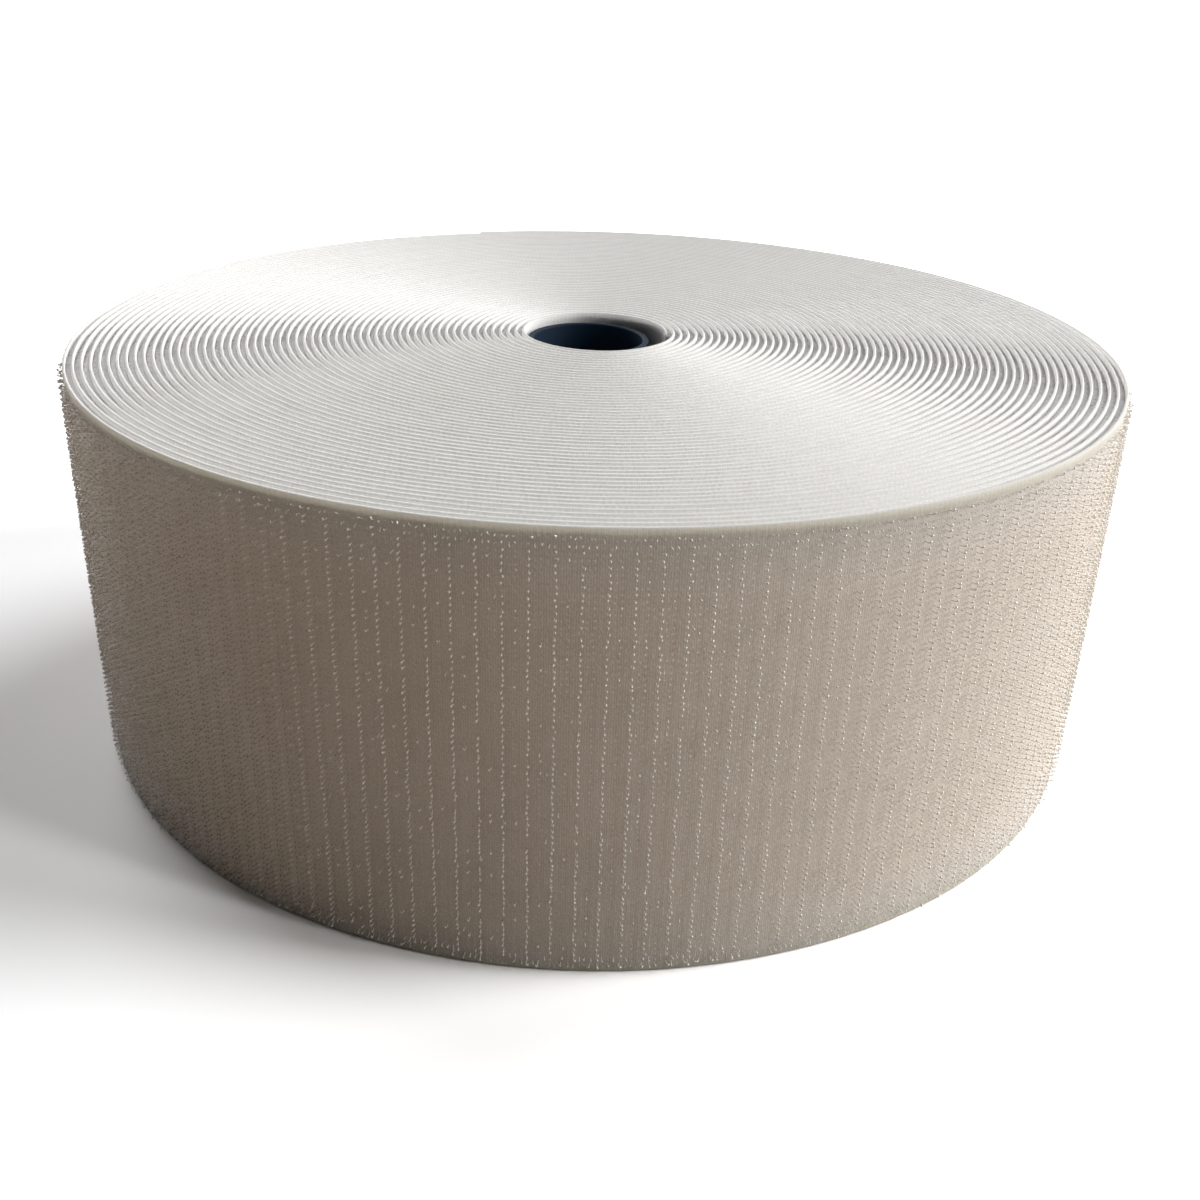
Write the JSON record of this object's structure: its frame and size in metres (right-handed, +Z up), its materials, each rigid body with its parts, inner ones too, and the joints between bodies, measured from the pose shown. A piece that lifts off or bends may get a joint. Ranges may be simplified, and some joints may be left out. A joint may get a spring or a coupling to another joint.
{
  "type": "hook tape roll",
  "caption": "Roll of white woven hook tape wound hooks outward on a loose dark core tube, lying on one edge, with a free end that lifts.",
  "frame": {"origin": "where the roll's axis meets the surface that it lies on", "axes": "+Z up along the roll's axis, -Y towards the viewer of the picture, +X to the right"},
  "size_m": [0.266, 0.267, 0.1],
  "materials": {
    "woven_tape": "white woven nylon with monofilament hooks",
    "core_plastic": "dark smooth moulded plastic"
  },
  "bodies": {
    "roll": {"tape_outer_turns": "woven_tape", "tape_inner_turns": "woven_tape"},
    "free_end": {"tape_free_end": "woven_tape"},
    "core": {"core_tube": "core_plastic"}
  },
  "joints": [
    {"name": "free_end_lift", "type": "hinge", "parent": "roll", "child": "free_end", "pos_m": [0.01833, 0.13164, 0.05], "axis": [0, 0, -1], "range_deg": [0, 90]},
    {"name": "core_slide", "type": "slide", "parent": "roll", "child": "core", "axis": [0, 0, 1], "range_m": [0, 0.095]}
  ]
}
